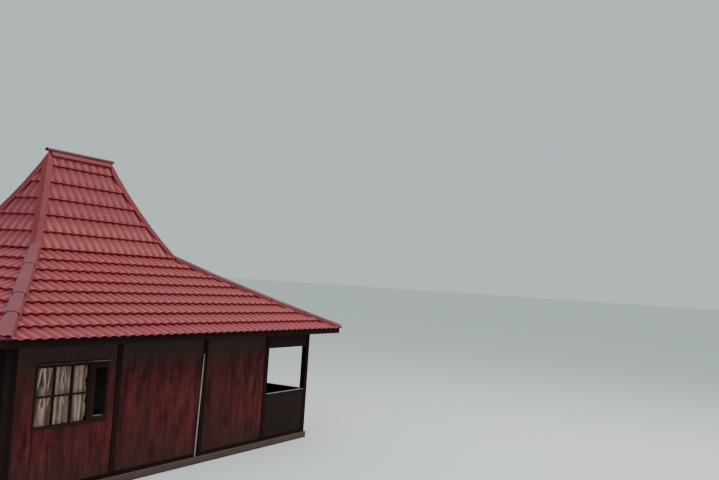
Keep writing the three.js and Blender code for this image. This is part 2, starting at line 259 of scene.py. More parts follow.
def along(obj, start, ahead, up):
    """Stands an object that is drawn along +Z, with its crown towards +Y, along a line."""
    z = ahead.normalized()
    x = up.cross(z).normalized()
    obj.matrix_world = Matrix.Translation(start) @ Matrix((x, z.cross(x), z)).transposed().to_4x4()
    return settle(obj)


def on_wall(side, reach, depth, height):
    """A block on one side: its reach along the wall, its depths behind the post faces and its heights."""
    axis, sign, face = SIDES[side]
    across = sorted(sign * (face - d) for d in depth)
    (x0, x1), (y0, y1) = (across, reach) if axis else (reach, across)
    return block((x0, y0, height[0]), (x1, y1, height[1]))


def span_of(node, side):
    """Where a wall node reaches: along the wall, in depth and in height."""
    low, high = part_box(node)
    axis, sign, face = SIDES[side]
    depth = sorted(face - sign * value for value in (low[1 - axis], high[1 - axis]))
    return (low[axis], high[axis]), depth, (low.z, high.z)


def mark(obj, name, rule):
    """Writes a number on each vertex, which the finish reads."""
    attribute = obj.data.attributes.get(name) or obj.data.attributes.new(name, "FLOAT", "POINT")
    for vertex, datum in zip(obj.data.vertices, attribute.data):
        datum.value = rule(vertex.co)
    return obj


def tone(obj, dice):
    """The same random tone all over one timber."""
    value = dice.random()
    return mark(obj, "tone", lambda co: value)


def timbers(parts, dice, edge=EDGE):
    """Timbers with a tone each and worn edges, as one piece."""
    return bevel(join([tone(part, dice) for part in parts]), edge)


def paint(obj, finish):
    """Gives an object its finish, which is made for the first piece that has it."""
    _, name, maker, *values = FINISHES[finish]
    obj.data.materials.clear()
    obj.data.materials.append(bpy.data.materials.get(name) or maker(name, *values))


def fit(obj, name, finish, nodes=(), angle=20):
    """Names a finished piece, gives it its finish, and puts it in place of its nodes."""
    only(obj)
    obj.name = name
    obj.data.name = name
    paint(obj, finish)
    bpy.ops.object.shade_smooth_by_angle(angle=math.radians(angle))
    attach(obj, "root")
    if nodes:
        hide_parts(*nodes)


# Finishes


class Signal:
    """A number that varies over a surface. Arithmetic on it adds Math nodes."""

    def __init__(self, finish, socket):
        self.finish = finish
        self.socket = socket

    def _with(self, operation, first, second, clamp=False):
        node = self.finish.node("ShaderNodeMath", {0: first, 1: second}, operation=operation, use_clamp=clamp)
        return Signal(self.finish, node.outputs[0])

    def __add__(self, other):
        return self._with("ADD", self, other)

    def __mul__(self, other):
        return self._with("MULTIPLY", self, other)

    def __sub__(self, other):
        return self._with("SUBTRACT", self, other)

    def __rsub__(self, other):
        return self._with("SUBTRACT", other, self)

    __radd__, __rmul__ = __add__, __mul__

    def between(self, low, high):
        """0 up to low, 1 from high on."""
        return self._with("MULTIPLY", self - low, 1 / (high - low), clamp=True)


class Finish:
    """One material under construction."""

    def __init__(self, name, shine=0.5):
        self.material = bpy.data.materials.new(name)
        self.material.use_nodes = True
        self.tree = self.material.node_tree
        self.shader = next(n for n in self.tree.nodes if n.type == "BSDF_PRINCIPLED")
        self.feed("Specular IOR Level", shine)

    def plug(self, socket, value):
        if isinstance(value, Signal):
            value = value.socket
        if isinstance(value, bpy.types.NodeSocket):
            self.tree.links.new(value, socket)
        elif socket.type == "RGBA":
            socket.default_value = (*value, 1)
        else:
            socket.default_value = value

    def feed(self, name, value):
        self.plug(self.shader.inputs[name], value)

    def node(self, kind, sockets, **settings):
        """A node: its settings first, then the values or links of its sockets."""
        made = self.tree.nodes.new(kind)
        for name, value in settings.items():
            setattr(made, name, value)
        for key, value in sockets.items():
            self.plug(made.inputs[key], value)
        return made

    def coordinates(self):
        return self.node("ShaderNodeTexCoord", {}).outputs["Object"]

    def axis(self, index):
        return Signal(self, self.node("ShaderNodeSeparateXYZ", {0: self.coordinates()}).outputs[index])

    def mark(self, name):
        return Signal(self, self.node("ShaderNodeAttribute", {}, attribute_name=name).outputs["Fac"])

    def noise(self, scale, detail=4.0, roughness=0.55, stretch=(1, 1, 1), moved=None, distortion=0.0):
        """Noise, stretched, and moved along all three axes by a signal."""
        place = self.coordinates()
        if moved is not None:
            offset = self.node("ShaderNodeCombineXYZ", {0: moved, 1: moved, 2: moved}).outputs[0]
            place = self.node("ShaderNodeVectorMath", {0: place, 1: offset}, operation="ADD").outputs[0]
        place = self.node("ShaderNodeMapping", {"Vector": place, "Scale": stretch}).outputs[0]
        sockets = {"Vector": place, "Scale": scale, "Detail": detail, "Roughness": roughness, "Distortion": distortion}
        return Signal(self, self.node("ShaderNodeTexNoise", sockets).outputs[0])

    def coats(self, ground, *coats):
        """The base colour: a ground and the coats over it, each a colour and the share that it covers."""
        for coat, share in coats:
            sockets = {0: share, 6: ground, 7: coat}
            ground = self.node("ShaderNodeMix", sockets, data_type="RGBA", clamp_factor=True).outputs[2]
        self.feed("Base Color", ground)

    def finished(self, roughness, relief=None, depth=0.0, strength=0.5):
        """The material, with its roughness and its relief."""
        self.feed("Roughness", roughness)
        if relief is not None:
            sockets = {"Height": relief, "Distance": depth, "Strength": strength}
            self.feed("Normal", self.node("ShaderNodeBump", sockets).outputs[0])
        return self.material


def chosen(name):
    return tuple(getattr(bpy.context.scene.cottage_finishes, name))


def shade(colour, factor):
    """A colour times one number, or times a number for each channel."""
    factors = factor if isinstance(factor, tuple) else (factor,) * 3
    return tuple(min(1.0, c * f) for c, f in zip(colour, factors))


def tile_paint(name):
    """Rose paint: a painted highlight along the crests towards each nose, painted shade with dirt in the valleys and
    under the steps, and painted shade high on the steep upper sheets.
    """
    base = chosen("tile")
    paint = Finish(name, 0.18)
    broad = paint.noise(0.9, 3)
    fine = paint.noise(14, 5, 0.6)
    grime, crest, nose = paint.mark("grime"), paint.mark("crest"), paint.mark("nose")
    paint.coats(
        shade(base, 0.74),
        # paler on the crests than in the valleys: painted shade in the valleys, with dirt
        (shade(base, 1.04), crest * 0.9 + broad.between(0.3, 0.7) * 0.25),
        # painted highlight along the crests, strongest towards each nose
        (shade(base, (1.24, 2.1, 2.2)), crest.between(0.45, 1.0) * nose * (0.5 + fine * 0.6)),
        (shade(base, 0.66), fine.between(0.5, 0.75) * 0.35),
        # painted shade with dirt on each riser and under the next step
        (shade(base, (0.52, 0.04, 0.05)), grime * (0.75 + fine * 0.6)),
        # painted shade high on the steep upper sheets
        (shade(base, 0.42), paint.axis(2).between(3.85, 4.1) * 0.30),
    )
    return paint.finished(0.44 + broad * 0.16 + grime * 0.4, fine, 0.0006)


def cap_paint(name):
    """Duller paint of the folded caps, with chalky rubs; mauve on the rolls with dust and a painted sheen, a painted
    highlight along the ridge roll's top, and painted shade at the rolls' laps and under the ridge roll.
    """
    base = chosen("cap")
    paint = Finish(name, 0.18)
    broad = paint.noise(2.2, 3)
    fine = paint.noise(30, 5, 0.65)
    paint.coats(
        shade(base, 0.82),
        (shade(base, 1.12), broad.between(0.3, 0.7)),
        # mauve: dust with a painted sheen, and a painted highlight along the ridge roll's top
        (shade(base, (1.3, 5.2, 5.1)), paint.mark("rolled") * (0.45 + broad * 0.7)),
        (shade(base, 0.5), fine.between(0.58, 0.8) * 0.5),
        # painted shade at each hip roll's lap and on the ridge roll's lower sides
        (shade(base, 0.25), paint.mark("fold").between(0.6, 1.0) * 0.8),
    )
    return paint.finished(0.42 + fine * 0.2, fine, 0.0004)


def wood_grain(stain, grain):
    """Grain along a timber: its rings, its fine pores and the relief of both."""
    moved = stain.mark("tone") * 7.3
    stretch = tuple(0.06 if axis == grain else 1 for axis in "xyz")
    rings = stain.noise(28, 4, 0.6, stretch, moved, 0.8)
    pores = stain.noise(190, 3, 0.7, stretch, moved)
    return rings, pores, rings * 0.6 + pores * 0.4


def stained(name, colour, low, high, grain="z"):
    """A stained timber, streaked along its grain between two shades of a colour, with a painted highlight along some
    top edges.
    """
    dark, pale = shade(chosen(colour), low), shade(chosen(colour), high)
    stain = Finish(name, 0.06)
    rings, pores, relief = wood_grain(stain, grain)
    cloud = stain.noise(1.7, 3)
    stain.coats(
        dark,
        (pale, rings.between(0.32, 0.7) * 0.6 + cloud.between(0.35, 0.7) * 0.25 + stain.mark("tone") * 0.3),
        (shade(dark, 0.45), pores.between(0.56, 0.72) * 0.5),
        # painted highlight along the marked top edges
        ((0.46, 0.38, 0.36), stain.mark("rubbed").between(0.70, 0.92) * 0.9),
    )
    return stain.finished(0.62 + rings * 0.25, relief, 0.0018, 0.6)


def red_stain(name):
    """Dark red stain, streaked and blotched, grey brown towards the top under the eaves and splashed at its foot."""
    red, worn = chosen("red"), chosen("worn")
    stain = Finish(name, 0.08)
    rings, pores, relief = wood_grain(stain, "z")
    tones = stain.mark("tone")
    streaks = stain.noise(10, 5, 0.7, (1, 1, 0.12), tones * 3.1)
    cloud = stain.noise(4.6, 6, 0.7, (1, 1, 0.45))
    patch = stain.noise(1.9, 5, 0.65, (1, 1, 0.6))
    height = stain.axis(2)
    strength = streaks.between(0.42, 0.60) * 0.55 + cloud.between(0.42, 0.60) * 0.5 + tones * 0.3 - 0.15
    bare = patch.between(0.48, 0.64) * 0.6 + streaks.between(0.52, 0.66) * 0.25 + rings.between(0.5, 0.75) * 0.2
    top_band = (height + cloud * 0.7 + streaks * 0.45).between(2.24, 2.52)
    splash = (0.5 - height + cloud * 0.35).between(0.0, 0.5)
    stain.coats(
        shade(red, 0.3),
        (shade(red, (1.75, 1.75, 1.7)), strength),
        (tuple(0.5 * r + 0.3 * w for r, w in zip(red, worn)), bare),
        (worn, top_band * 0.92),
        (shade(worn, 0.7), splash * 0.55),
        (shade(worn, 0.2), pores.between(0.56, 0.74) * 0.5),
    )
    return stain.finished(0.58 + rings * 0.2 + top_band * 0.12, relief, 0.0018, 0.7)


def curtain_weave(name):
    """Thin cream cloth: pale where it is proud, with painted shade in its hollows, darkest deep in the pointed ones,
    and a painted highlight along their rims.
    """
    base = chosen("cloth")
    hollow = shade(base, (0.16, 0.13, 0.10))
    cloth = Finish(name, 0.15)
    cloth.feed("Sheen Weight", 0.2)
    threads = cloth.noise(420, 2, stretch=(1, 1, 0.15))
    cloud = cloth.noise(13, 3, stretch=(1, 1, 0.3))
    cloth.coats(
        # painted shade in the hollows, under the pale cloth where it is proud
        hollow,
        (base, cloth.mark("proud") * 0.9 + cloud.between(0.3, 0.7) * 0.6 - 0.3),
        # painted highlight along the rims of the deep hollows
        (shade(base, 1.45), cloth.mark("rim") * 0.9),
        # painted shade deep in the pointed hollows
        (shade(hollow, 0.6), cloth.mark("slit") * (0.75 + cloud * 0.6)),
        (shade(base, 0.5), threads.between(0.5, 0.75) * 0.4),
    )
    return cloth.finished(0.88, threads, 0.0004)


def window_glass(name):
    """Clear glass with a little dust."""
    glass = Finish(name, 0.12)
    dust = glass.noise(3)
    glass.coats((0.03, 0.03, 0.028), ((0.09, 0.085, 0.075), dust))
    glass.feed("Alpha", dust.between(0.3, 0.7) * 0.04 + 0.03)
    return glass.finished(0.05)


def rough_concrete(name):
    """Gritty screed, damp at its foot."""
    base = chosen("concrete")
    slab = Finish(name, 0.25)
    broad = slab.noise(3, 5, 0.6)
    grit = slab.noise(90, 4, 0.7)
    damp = (0.10 - slab.axis(2) + broad * 0.09).between(0.0, 0.12)
    slab.coats(
        shade(base, 0.75),
        (shade(base, 1.2), broad.between(0.3, 0.7)),
        (shade(base, 0.45), grit.between(0.55, 0.7) * 0.5),
        (shade(base, 0.4), damp * 0.6),
    )
    return slab.finished(0.9, broad * 0.5 + grit * 0.5, 0.003, 0.7)


def soiled_plastic(name):
    base = chosen("plastic")
    plastic = Finish(name)
    dirt = plastic.noise(16, stretch=(1, 1, 0.4))
    plastic.coats(base, (shade(base, 0.45), dirt.between(0.5, 0.75) * 0.6))
    return plastic.finished(0.4 + dirt * 0.2)


# Slot, material and maker of each finish, and for a stain its colour, darkest and palest shade and grain
FINISHES = {
    "tiles": ("red_metal_tiles", "tile_paint", tile_paint),
    "caps": ("rose_metal_caps", "cap_paint", cap_paint),
    "red": ("red_boards", "red_stain", red_stain),
    "dark": ("dark_timber", "dark_stain", stained, "dark", 0.6, 1.7),
    "shaded": ("dark_timber", "shaded_stain", stained, "dark", 0.2, 0.6),
    "dark_level": ("dark_timber", "dark_stain_level", stained, "dark", 0.6, 1.5, "x"),
    "dark_cross": ("dark_timber", "dark_stain_cross", stained, "dark", 0.6, 1.5, "y"),
    "sash": ("dark_timber", "sash_stain", stained, "sash", (0.281, 0.267, 0.278), 1.0),
    "brown": ("brown_boards", "brown_stain", stained, "brown", 0.75, 1.25),
    "brown_level": ("brown_boards", "brown_stain_level", stained, "brown", 0.6, 1.5, "x"),
    "cloth": ("curtain_cloth", "curtain_weave", curtain_weave),
    "glass": ("pane_glass", "window_glass", window_glass),
    "concrete": ("concrete", "rough_concrete", rough_concrete),
    "plastic": ("white_plastic", "soiled_plastic", soiled_plastic),
}


# Roof


def tile(length, eave=False):
    """One wave of one step, from its crest at the origin up +Y. The eave's has no lip, so its waves stand open."""
    roof = bpy.context.scene.cottage_roof
    step = roof.step_height
    lap = 0.012 if length == TOP_COURSE else 0.036
    places = [
        (0.003, -0.004 if eave else -step - 0.006),
        (0.0, -0.001 if eave else -0.006),
        (0.007, 0.0),
        (length * 0.5, -step * 0.42),
        (length - 0.03, -step * 0.95),
        (length + lap, -step * 1.04),
    ]
    columns, rows = 10, len(places) - 1
    made = grid(columns, rows, (0, 0), (WAVE, length))
    for row, (y, z) in enumerate(places):  # a row that has moved is off z = 0, so it isn't picked again
        at = row * length / rows
        shift(made, lambda co: abs(co.y - at) < NEAR and abs(co.z) < 1e-9, (0, y - at, z if z else 1e-6))
    heights = [((1 + math.cos(2 * math.pi * c / columns)) / 2) ** 0.85 for c in range(columns + 1)]
    for column, height in enumerate(heights):
        x = column * WAVE / columns
        shift(made, lambda co: abs(co.x - x) < NEAR, (0, 0, -roof.wave_depth * (1 - height)))
    # Painted shade with dirt on each riser and under the next step; the eave's lip has only a little at its foot.
    grime = (0.2, 0, 0, 0, 0.25, 1) if eave else (1, 0.9, 0, 0, 0.25, 1)
    # Where the painted highlight along the crests is strongest; on the eave's course, along its edge.
    nose = (0.6, 1, 1, 0.35, 0, 0) if eave else (0, 0.2, 1, 0.35, 0, 0)

    def row_of(co):
        return min(range(rows + 1), key=lambda i: abs(places[i][0] - co.y) + abs(places[i][1] - co.z) * (i < 3))

    mark(made, "grime", lambda co: grime[row_of(co)])
    mark(made, "nose", lambda co: nose[row_of(co)])
    return mark(made, "crest", lambda co: heights[round(co.x / WAVE * columns)])


def hip_cuts(obj, half_length, distance, fill=False, spare=0.0005):
    """Trims a piece of a roof face to its two hips, less something to spare."""
    reach = half_length - spare * math.sqrt(2)
    for sign in (-1, 1):
        cut(obj, (sign * reach, -distance, 0), (-sign, -1, 0), fill)


def face_sheets(half_length, distance, tiles):
    """The lower and upper tile sheets of one face, drawn as the front's. The tiles go by length, 0 the eave's."""
    waves = math.ceil(2 * half_length / WAVE - 1e-6)
    first = -waves * WAVE / 2
    from_ridge = 0.002
    strips = []
    for (run, height), length, pitch in zip(ROOF, LENGTHS, PITCHES):
        skipped = max(0, math.floor((run - abs(half_length + first)) / WAVE))
        drawn = copy_of(tiles[length if run else 0])
        strip = repeat(drawn, waves - 2 * skipped, (WAVE, 0, 0), use_merge_vertices=True, merge_threshold=0.0005)
        strip.rotation_euler.x = pitch
        strip.location = (first + skipped * WAVE, -distance + run, height)
        settle(strip)
        hip_cuts(strip, half_length, distance)
        cut(strip, (0, HALF_Y - distance - from_ridge, 0), (0, -1, 0))
        strips.append(strip)
    return join(strips[:KNEE]), join(strips[KNEE:])


def on_both_sides(drawn, sides, quarter):
    """What is drawn as the front's, turned to one side and then to the opposite one."""
    for side, turns in zip(sides, (quarter, quarter + 2)):
        piece = copy_of(drawn)
        piece.rotation_euler.z = turns * math.pi / 2
        yield side, settle(piece)
    bpy.data.objects.remove(drawn)


class COTTAGE_OT_tiles(bpy.types.Operator):
    """Pressed metal tile sheets on the eight faces of the roof"""

    bl_idname = "cottage.tiles"
    bl_label = "Tile sheets"

    def execute(self, context):
        thickness = context.scene.cottage_roof.sheet_thickness
        tiles = {0: tile(COURSE, eave=True), COURSE: tile(COURSE), TOP_COURSE: tile(TOP_COURSE)}
        for sides, half_length, distance, quarter in FACES:
            for level, drawn in zip(("lower", "upper"), face_sheets(half_length, distance, tiles)):
                for side, piece in on_both_sides(thicken(drawn, thickness), sides, quarter):
                    fit(piece, f"tiles_{level}_{side}", "tiles", [f"{level}_roof_{side}"], 50)
        for spare in tiles.values():
            bpy.data.objects.remove(spare)
        return {"FINISHED"}


def sunk_line(depth):
    """The roof's section, sunk square to it."""
    points = []
    for i, (x, z) in enumerate(ROOF):
        below, above = PITCHES[max(i - 1, 0)], PITCHES[min(i, len(PITCHES) - 1)]
        share = depth / (1 + math.cos(below - above))
        inward, down = math.sin(below) + math.sin(above), math.cos(below) + math.cos(above)
        points.append((x + share * inward, z - share * down))
    return points


def rafter(first, last, distance):
    """One rafter that follows the roof's section from a step to another, drawn at x = 0 for the front face."""
    width, shallow, deep = 0.045, 0.066, 0.108
    line = sunk_line((deep + shallow) / 2)
    foot = (0, -distance + line[first][0], line[first][1])
    upright = (deep - shallow) / math.cos(PITCHES[first])
    bpy.ops.mesh.primitive_cube_add(size=1, location=foot, scale=(width, 0.02, upright))
    made = settle()
    pick(made, lambda co: co.y > foot[1])
    for (y0, z0), (y1, z1) in zip(line[first:last], line[first + 1 : last + 1]):
        extrude((0, y1 - y0, z1 - z0))
    done()
    return made


class COTTAGE_OT_rafters(bpy.types.Operator):
    """Rafters and battens under the tile sheets"""

    bl_idname = "cottage.rafters"
    bl_label = "Rafters and battens"

    def execute(self, context):
        spacing = context.scene.cottage_roof.rafter_spacing
        from_corner, from_hip, from_eave, from_ridge = 0.3, 0.02, 0.08, 0.004
        batten_depth, batten_width, batten_half = 0.056, 0.035, 0.009
        dice = random.Random(11)
        for sides, half_length, distance, quarter in FACES:
            count = 2 * math.floor((half_length - from_corner) / spacing) + 1
            timbers = []
            for first, last in ((0, KNEE), (KNEE, len(ROOF) - 1)):
                timber = rafter(first, last, distance)
                timber.location.x = -(count - 1) / 2 * spacing
                timbers.append(repeat(settle(timber), count, (spacing, 0, 0)))
            for run, height in sunk_line(batten_depth)[1:-1]:
                low = (-half_length, -distance + run, height - batten_half)
                timbers.append(block(low, (half_length, low[1] + batten_width, height + batten_half)))
            for timber in timbers:  # one by one, since cuts through overlapping timbers can't be filled
                hip_cuts(timber, half_length, distance, True, from_hip)
                cut(timber, (0, -distance + from_eave, 0), (0, 1, 0), True)
                cut(timber, (0, -from_ridge, 0), (0, -1, 0), True)
            drawn = tone(join(timbers), dice)
            for side, piece in on_both_sides(drawn, sides, quarter):
                fit(piece, f"rafters_{side}", "dark_level" if quarter else "dark_cross")
        return {"FINISHED"}


def folded_band(points, pitches, half_width, crown):
    """A cap folded over the front left hip, as a sheet with a turned-down edge. Its flange on the end face is mauve,
    with dust and a painted sheen.
    """
    columns = [-1.0, -0.985, -0.5, -0.06, 0.0, 0.06, 0.5, 0.985, 1.0]
    rows = len(points) - 1
    made = grid(len(columns) - 1, rows, (-1, -1), (1, 1))
    across = Vector((1, -1, 0)).normalized()
    for vertex in made.data.vertices:
        share = columns[round((vertex.co.x + 1) / 2 * (len(columns) - 1))]
        row = round((vertex.co.y + 1) / 2 * rows)
        drop = abs(share) * half_width / math.sqrt(2) * math.tan(pitches[row])
        lip = 0.030 if abs(share) == 1 else 0
        vertex.co = points[row] + across * (share * half_width) + Vector((0, 0, crown - drop - lip))
    low = len(points) == KNEE + 1
    return mark(made, "rolled", lambda co: (1.1 if co.y + HALF_Y > co.x + HALF_X + 0.05 else 0.42) if low else 0.1)


def half_round(length, radius, taper=1.0, flat=1.0):
    """A round cap along +Z, its crown towards +Y and its sides straight, with a collar at its lower end."""
    made = cylinder(28, radius, length, (0, 0, length / 2), **OPEN)
    cut(made, (0, -0.6 * radius, 0), (0, 1, 0))
    for vertex in made.data.vertices:
        if vertex.co.y < 0:
            vertex.co.x = math.copysign(radius, vertex.co.x)
    made.scale.y = flat
    settle(made)
    pick(made, lambda co: co.z > length - NEAR)
    bpy.ops.transform.resize(value=(taper, taper, 1), center_override=(0, 0, length))
    done()
    pick(made, lambda co: co.z < NEAR)
    for depth, size in ((0.014, 1.0), (0.004, 1.05), (0.008, 1.0), (0.004, 0.95)):
        extrude((0, 0, -depth))
        bpy.ops.transform.resize(value=(size, size, 1), center_override=(0, 0, 0))
    done()
    return made


def on_hip(points, place):
    """A point of the low hip, at a number of steps from the eave."""
    i = max(0, min(KNEE - 1, math.floor(place)))
    return points[i] + (points[i + 1] - points[i]) * (place - i)


def hip_cap(roof):
    """The front left hip's cap: folded bands up to the ridge, with rolls on the low one."""
    points = [Vector((-HALF_X + run, -HALF_Y + run, height)) for run, height in ROOF]
    mean = [PITCHES[0]] + [(a + b) / 2 for a, b in zip(PITCHES, PITCHES[1:])] + [PITCHES[-1]]
    parts = []
    for first, last, crown in ((0, KNEE, 0.004), (KNEE, 10, 0.006), (10, 12, 0.0085), (12, 14, 0.011)):
        pitches = [PITCHES[first]] + mean[first + 1 : last] + [PITCHES[last - 1]]
        half_width = roof.cap_width if first == 0 else 0.85 * roof.cap_width
        parts.append(folded_band(points[first : last + 1], pitches, half_width, crown))
    ends = [-0.12, 1.93, 3.55, 6.28, 8.2]  # of the rolls, in steps from the eave
    lap = 0.07
    up = Vector((-1, -1, 0)).normalized() * 0.3 + Vector((0, 0, 1))
    for first, last in zip(ends, ends[1:]):
        top = last == ends[-1]
        foot, head = on_hip(points, first), on_hip(points, last)
        ahead = head - foot
        roll = half_round(ahead.length + (0 if top else lap), roof.roll_radius * (0.96 if top else 1), 0.88, 0.46)
        # mauve on the rolls: dust with a painted sheen
        mark(roll, "rolled", lambda co: 0.60 + 0.02 * first)
        # painted shade at the roll's lower end, where it laps the roll below
        mark(roll, "fold", lambda co: 1.0 if co.z < -0.010 else 0.0)
        parts.append(along(roll, foot, ahead, up))
    drawn = join(parts)
    cut(drawn, (-HALF_X, 0, 0), (1, 0, 0))
    cut(drawn, (0, -HALF_Y, 0), (0, 1, 0))
    return thicken(drawn, roof.sheet_thickness)


def ridge_cap(roof):
    """A round cap with a flange down each side, over a strip that closes the tile ends and a round board."""
    reach, middle = RIDGE_END + 0.028, Vector((0, 0, RIDGE_HEIGHT + 0.036))
    cap = half_round(2 * reach, 0.036)
    # painted highlight along the roll's top
    mark(cap, "rolled", lambda co: 1.6 if co.y > 0.012 else 0.3)
    # painted shade on the roll's lower sides
    mark(cap, "fold", lambda co: 0.0 if co.y > 0.02 else 0.9)
    cap = along(cap, middle - Vector((reach, 0, 0)), Vector((1, 0, 0)), Vector((0, 0, 1)))
    profile = [(-0.051, -0.062), (-0.050, -0.051), (-0.022, 0.020), (0.022, 0.020), (0.050, -0.051), (0.051, -0.062)]
    end = RIDGE_END - 0.045
    flange = grid(len(profile) - 1, 1, (-1, -end), (1, end))
    for vertex in flange.data.vertices:
        y, z = profile[round(2.5 * vertex.co.x + 2.5)]
        vertex.co = (-vertex.co.y, y, RIDGE_HEIGHT + z)
    sheets = thicken(join([cap, mark(flange, "rolled", lambda co: 0.4)]), roof.sheet_thickness)
    strip = block((-RIDGE_END, -0.014, RIDGE_HEIGHT - 0.16), (RIDGE_END, 0.014, RIDGE_HEIGHT + 0.01))
    fit(join([sheets, strip]), "ridge_roll", "caps", ["ridge_cap"], 40)
    core = cylinder(24, 0.033, 2 * reach - 0.004, middle, **LEVEL)
    cut(core, middle - Vector((0, 0, 0.02)), (0, 0, 1), True)
    fit(bevel(core, EDGE), "ridge_board", "dark_level")


class COTTAGE_OT_caps(bpy.types.Operator):
    """Folded caps with half-round rolls on the hips, and the ridge cap"""

    bl_idname = "cottage.caps"
    bl_label = "Hip and ridge caps"

    def execute(self, context):
        roof = context.scene.cottage_roof
        drawn = hip_cap(roof)
        for name, x, y in (("front_left", 1, 1), ("front_right", -1, 1), ("back_left", 1, -1), ("back_right", -1, -1)):
            piece = copy_of(drawn)
            piece.scale = (x, y, 1)
            settle(piece)
            if x * y < 0:  # one mirroring turns the faces inside out
                pick(piece)
                bpy.ops.mesh.flip_normals()
                done()
            fit(piece, f"hip_caps_{name}", "caps", [f"hip_cap_{name}"], 40)
        bpy.data.objects.remove(drawn)
        ridge_cap(roof)
        return {"FINISHED"}


class COTTAGE_OT_fascia(bpy.types.Operator):
    """The board round the eaves, in lengths with tight joints"""

    bl_idname = "cottage.fascia"
    bl_label = "Fascia boards"

    def execute(self, context):
        thickness, joint = 0.025, 0.001
        low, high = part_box("fascia_board")
        dice = random.Random(5)
        for side, (axis, _, face) in SIDES.items():
            inset = axis * (thickness + 0.0005)  # the end boards stand between the long ones
            start = low[axis] + inset
            count = 2 if axis else 3
            length = (high[axis] - inset - start) / count
            out = face - high[1 - axis]
            reaches = [(start + i * length + joint, start + (i + 1) * length - joint) for i in range(count)]
            parts = [on_wall(side, reach, (out, out + thickness), (low.z, high.z)) for reach in reaches]
            nodes = ["fascia_board"] if side == "front" else []
            fit(timbers(parts, dice), f"fascia_{side}", "dark_cross" if axis else "dark_level", nodes)
        return {"FINISHED"}


# Walls


def boards(side, reach, depth, height, dice, level=False, joint=None):
    """Boards side by side over one field of a wall, upright or level, each a little proud or shy."""
    walls = bpy.context.scene.cottage_walls
    span = height if level else reach
    count = max(1, round((span[1] - span[0]) / walls.board_width))
    pitch = (span[1] - span[0]) / count
    gap = (joint or walls.joint) / 2
    first = (span[0] + gap, span[0] + pitch - gap)
    made = on_wall(side, reach if level else first, depth, first if level else height)
    along_wall = SIDES[side][0]
    axis = 2 if level else along_wall
    step = [0, 0, 0]
    step[axis] = pitch
    repeat(made, count, step)
    tones = [dice.random() for _ in range(count)]
    proud = [dice.uniform(-0.0012, 0.0012) for _ in range(count)]

    def number(co):
        return min(count - 1, max(0, int((co[axis] - span[0]) / pitch)))

    mark(made, "tone", lambda co: tones[number(co)])
    for vertex in made.data.vertices:
        vertex.co[1 - along_wall] += proud[number(vertex.co)]
    return made


def boarded(side, node, name, finish, dice, edge=BOARD_EDGE, level=False):
    """A piece of boards in place of a wall node."""
    fit(bevel(boards(side, *span_of(node, side), dice, level), edge), name, finish, [node])


def boards_round(side, node, hole, dice):
    """Boards over a wall node, round the hole that another node fills."""
    (a0, a1), depth, (z0, z1) = span_of(node, side)
    (w0, w1), _, (s0, s1) = span_of(hole, side)
    w0, w1, s0, s1 = w0 - GAP, w1 + GAP, s0 - GAP, s1 + GAP
    fields = [((a0, w0), (z0, z1)), ((w1, a1), (z0, z1)), ((w0, w1), (z0, s0)), ((w0, w1), (s1, z1))]
    return [boards(side, reach, depth, height, dice) for reach, height in fields if height[0] < height[1]]


def partition(dice):
    """The room's wall to the veranda, round its doorway and cut to the roof."""
    node = "partition_boards"
    low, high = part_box(node)
    made = join(boards_round("right", node, "door_frame", dice))
    line = sunk_line(0.111)
    for sign in (-1, 1):
        for (run, height), pitch in zip(line[1:KNEE], PITCHES[1:KNEE]):
            if height < high.z + 0.5:
                cut(made, (0, sign * (HALF_Y - run), height), (0, -sign * math.sin(pitch), -math.cos(pitch)), True)
    (run, height), pitch = line[KNEE - 2], PITCHES[KNEE - 2]
    height += (HALF_X - (low.x + high.x) / 2 - run) * math.tan(pitch)
    cut(made, (high.x, 0, height), (-math.sin(pitch), 0, -math.cos(pitch)), True)
    fit(bevel(made, BOARD_EDGE), "partition_board_wall", "red", [node])


class COTTAGE_OT_walls(bpy.types.Operator):
    """Board walls between the posts"""

    bl_idname = "cottage.walls"
    bl_label = "Board walls"

    def execute(self, context):
        dice = random.Random(3)
        for side in ("front", "back"):
            node = f"{side}_wall_window_bay"
            parts = boards_round(side, node, f"{side}_window_frame", dice)
            mark(parts[1], "tone", lambda co: 0.97)
            fit(bevel(join(parts), BOARD_EDGE), f"{side}_boards_window_bay", "red", [node])
            for place in ("middle_bay", "inner_bay"):
                boarded(side, f"{side}_wall_{place}", f"{side}_boards_{place}", "red", dice)
        for i in (1, 2, 3):
            boarded("left", f"left_wall_bay_{i}", f"left_boards_{i}", "shaded", dice)
        partition(dice)
        return {"FINISHED"}


class COTTAGE_OT_timbers(bpy.types.Operator):
    """Posts, sill beams, door frame and wall plate"""

    bl_idname = "cottage.timbers"
    bl_label = "Posts and beams"

    def execute(self, context):
        chamfer = context.scene.cottage_walls.chamfer
        dice = random.Random(8)
        for side, count in (("front", 5), ("back", 5), ("left", 2), ("veranda", 2)):
            for i in range(count):
                node = f"{side}_post_{i + 1}"
                fit(timbers([block(*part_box(node))], dice, chamfer), f"timber_{node}", "dark", [node])

        low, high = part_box("sill_beams")
        door_low, door_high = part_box("door_frame")
        heights = (low.z, high.z)
        between = (-WALL_Y + POST + 0.001, WALL_Y - POST - 0.001)
        long_ones = [on_wall(side, (low.x, high.x), (0, POST), heights) for side in ("front", "back")]
        short = [on_wall(side, between, (0, POST), heights) for side in ("left", "right")]
        short.append(block((door_low.x, between[0], low.z), (door_high.x, between[1], high.z)))
        fit(timbers(long_ones, dice, chamfer), "sills_long", "dark_level", ["sill_beams"])
        fit(timbers(short, dice, chamfer), "sills_short", "dark_cross")

        jamb = 0.08
        left, right = door_low.y + jamb, door_high.y - jamb
        door_frame = [
            block(door_low, (door_high.x, left, door_high.z)),
            block((door_low.x, right, door_low.z), door_high),
            block((door_low.x, left, door_high.z - jamb), (door_high.x, right, door_high.z)),
        ]
        fit(timbers(door_frame, dice, chamfer), "doorway_timbers", "dark", ["door_frame"])
        paint(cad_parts["wall_plate"], "dark_level")
        return {"FINISHED"}


